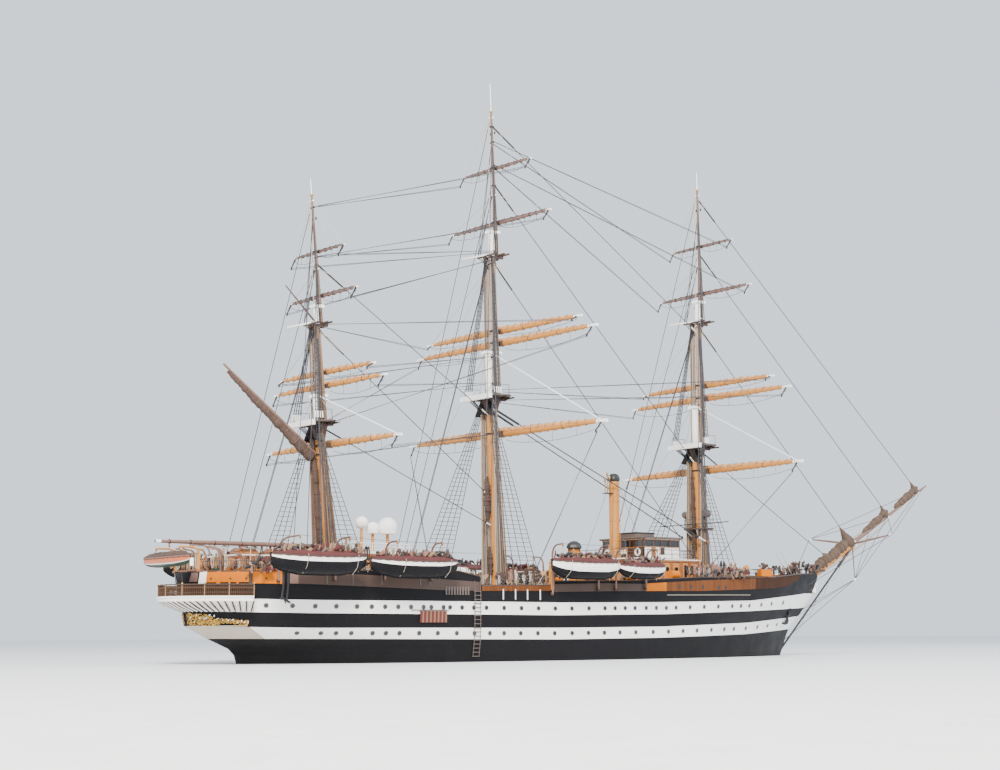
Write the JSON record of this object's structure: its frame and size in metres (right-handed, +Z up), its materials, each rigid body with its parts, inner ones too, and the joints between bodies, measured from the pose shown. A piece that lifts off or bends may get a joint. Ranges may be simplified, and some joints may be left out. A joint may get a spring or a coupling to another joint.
{
  "type": "1:10 scale model of a three-masted full-rigged ship",
  "caption": "Scale model of a steel full-rigged training ship afloat, with furled sails, boats on davits, a funnel and turning yards, boom, gaff, rudder and propeller.",
  "frame": {"origin": "on the centreline at the waterline, under the mainmast", "axes": "+X to the bow, +Y to port, +Z up"},
  "size_m": [10.1182, 2.8678, 6.4319],
  "materials": {
    "hull_paint": "semi-gloss charcoal paint with two white bands, dark green antifouling below",
    "antifouling": "matt dark green antifouling paint",
    "bronze": "cast propeller bronze",
    "white_paint": "satin white paint",
    "gilt": "gilded carving",
    "buff_paint": "glossy buff paint",
    "tan_canvas": "furled tan canvas in gaskets",
    "brown_spars": "dark brown spars with dark furled canvas",
    "dark_canvas": "grey-brown furled canvas",
    "rigging": "tarred wire rope",
    "boat_paint": "white boat with a charcoal bottom",
    "orange_paint": "orange boat with a dark green bottom",
    "varnished_wood": "varnished teak panelling",
    "steel": "black painted steel"
  },
  "bodies": {
    "root": {"after_deckhouse": "varnished_wood", "bobstay": "rigging", "bowsprit": "buff_paint", "bridge_deckhouse": "varnished_wood", "chart_house": "varnished_wood", "figurehead": "gilt", "fore_royal_stay_and_jib": "dark_canvas", "fore_shrouds_port": "rigging", "fore_shrouds_starboard": "rigging", "fore_stay_and_jib": "dark_canvas", "fore_topgallant_stay_and_jib": "dark_canvas", "fore_topmast_stay_and_jib": "dark_canvas", "foremast": "buff_paint", "funnel": "buff_paint", "hull": "hull_paint", "main_royal_stay": "rigging", "main_shrouds_port": "rigging", "main_shrouds_starboard": "rigging", "main_topgallant_stay": "rigging", "main_topmast_stay": "rigging", "mainmast": "buff_paint", "mainstay_port": "rigging", "mainstay_starboard": "rigging", "mizzen_shrouds_port": "rigging", "mizzen_shrouds_starboard": "rigging", "mizzen_stay": "rigging", "mizzen_topgallant_stay": "rigging", "mizzen_topmast_stay": "rigging", "mizzenmast": "buff_paint", "mooring_bitts_aft": "steel", "mooring_bitts_fore": "steel", "quarter_boats_port": "boat_paint", "quarter_boats_starboard": "boat_paint", "radomes": "white_paint", "stern_boat": "orange_paint", "stern_gallery": "white_paint", "vent_house": "buff_paint", "waist_boats_port": "boat_paint", "waist_boats_starboard": "boat_paint", "wheelhouse": "white_paint"},
    "fore_course_yard": {"fore_course_yard": "tan_canvas"},
    "fore_lower_topsail_yard": {"fore_lower_topsail_yard": "tan_canvas"},
    "fore_upper_topsail_yard": {"fore_upper_topsail_yard": "tan_canvas"},
    "fore_topgallant_yard": {"fore_topgallant_yard": "brown_spars"},
    "fore_royal_yard": {"fore_royal_yard": "brown_spars"},
    "main_course_yard": {"main_course_yard": "tan_canvas"},
    "main_lower_topsail_yard": {"main_lower_topsail_yard": "tan_canvas"},
    "main_upper_topsail_yard": {"main_upper_topsail_yard": "tan_canvas"},
    "main_topgallant_yard": {"main_topgallant_yard": "brown_spars"},
    "main_royal_yard": {"main_royal_yard": "brown_spars"},
    "mizzen_course_yard": {"mizzen_course_yard": "tan_canvas"},
    "mizzen_lower_topsail_yard": {"mizzen_lower_topsail_yard": "tan_canvas"},
    "mizzen_upper_topsail_yard": {"mizzen_upper_topsail_yard": "tan_canvas"},
    "mizzen_topgallant_yard": {"mizzen_topgallant_yard": "brown_spars"},
    "mizzen_royal_yard": {"mizzen_royal_yard": "brown_spars"},
    "spanker_boom": {"spanker_boom": "buff_paint"},
    "spanker_gaff": {"spanker_gaff": "dark_canvas"},
    "rudder": {"rudder": "antifouling"},
    "propeller": {"propeller": "bronze"}
  },
  "joints": [
    {"name": "fore_course_brace", "type": "hinge", "parent": "root", "child": "fore_course_yard", "pos_m": [2.70259, 0, 1.96087], "axis": [-0.015, 0, 0.9999], "range_deg": [-40, 40]},
    {"name": "fore_lower_topsail_brace", "type": "hinge", "parent": "root", "child": "fore_lower_topsail_yard", "pos_m": [2.77582, 0, 2.74606], "axis": [-0.015, 0, 0.9999], "range_deg": [-40, 40]},
    {"name": "fore_upper_topsail_brace", "type": "hinge", "parent": "root", "child": "fore_upper_topsail_yard", "pos_m": [2.77375, 0, 2.88404], "axis": [-0.015, 0, 0.9999], "range_deg": [-40, 40]},
    {"name": "fore_topgallant_brace", "type": "hinge", "parent": "root", "child": "fore_topgallant_yard", "pos_m": [2.81053, 0, 3.89871], "axis": [-0.015, 0, 0.9999], "range_deg": [-40, 40]},
    {"name": "fore_royal_brace", "type": "hinge", "parent": "root", "child": "fore_royal_yard", "pos_m": [2.80266, 0, 4.42365], "axis": [-0.015, 0, 0.9999], "range_deg": [-40, 40]},
    {"name": "main_course_brace", "type": "hinge", "parent": "root", "child": "main_course_yard", "pos_m": [-0.05488, 0, 2.1719], "axis": [-0.04, 0, 0.9992], "range_deg": [-40, 40]},
    {"name": "main_lower_topsail_brace", "type": "hinge", "parent": "root", "child": "main_lower_topsail_yard", "pos_m": [-0.00579, 0, 3.07158], "axis": [-0.04, 0, 0.9992], "range_deg": [-40, 40]},
    {"name": "main_upper_topsail_brace", "type": "hinge", "parent": "root", "child": "main_upper_topsail_yard", "pos_m": [-0.01055, 0, 3.19049], "axis": [-0.04, 0, 0.9992], "range_deg": [-40, 40]},
    {"name": "main_topgallant_brace", "type": "hinge", "parent": "root", "child": "main_topgallant_yard", "pos_m": [0.00072, 0, 4.28481], "axis": [-0.04, 0, 0.9992], "range_deg": [-40, 40]},
    {"name": "main_royal_brace", "type": "hinge", "parent": "root", "child": "main_royal_yard", "pos_m": [-0.02142, 0, 4.83837], "axis": [-0.04, 0, 0.9992], "range_deg": [-40, 40]},
    {"name": "mizzen_course_brace", "type": "hinge", "parent": "root", "child": "mizzen_course_yard", "pos_m": [-2.00439, 0, 1.93383], "axis": [-0.0952, 0, 0.9955], "range_deg": [-40, 40]},
    {"name": "mizzen_lower_topsail_brace", "type": "hinge", "parent": "root", "child": "mizzen_lower_topsail_yard", "pos_m": [-1.99136, 0, 2.48055], "axis": [-0.0952, 0, 0.9955], "range_deg": [-40, 40]},
    {"name": "mizzen_upper_topsail_brace", "type": "hinge", "parent": "root", "child": "mizzen_upper_topsail_yard", "pos_m": [-2.00278, 0, 2.60001], "axis": [-0.0952, 0, 0.9955], "range_deg": [-40, 40]},
    {"name": "mizzen_topgallant_brace", "type": "hinge", "parent": "root", "child": "mizzen_topgallant_yard", "pos_m": [-2.02807, 0, 3.3058], "axis": [-0.0952, 0, 0.9955], "range_deg": [-40, 40]},
    {"name": "mizzen_royal_brace", "type": "hinge", "parent": "root", "child": "mizzen_royal_yard", "pos_m": [-2.06699, 0, 3.71295], "axis": [-0.0952, 0, 0.9955], "range_deg": [-40, 40]},
    {"name": "spanker_boom_swing", "type": "hinge", "parent": "root", "child": "spanker_boom", "pos_m": [-1.91789, 0, 1.02896], "axis": [-0.0952, 0, 0.9955], "range_deg": [-30, 30]},
    {"name": "spanker_gaff_swing", "type": "hinge", "parent": "root", "child": "spanker_gaff", "pos_m": [-1.9964, 0, 1.85021], "axis": [-0.0952, 0, 0.9955], "range_deg": [-30, 30]},
    {"name": "rudder_turn", "type": "hinge", "parent": "root", "child": "rudder", "pos_m": [-2.695, 0, 0], "axis": [0, 0, 1], "range_deg": [-35, 35]},
    {"name": "propeller_spin", "type": "hinge", "parent": "root", "child": "propeller", "pos_m": [-2.472, 0, -0.41], "axis": [1, 0, 0], "continuous": true}
  ]
}
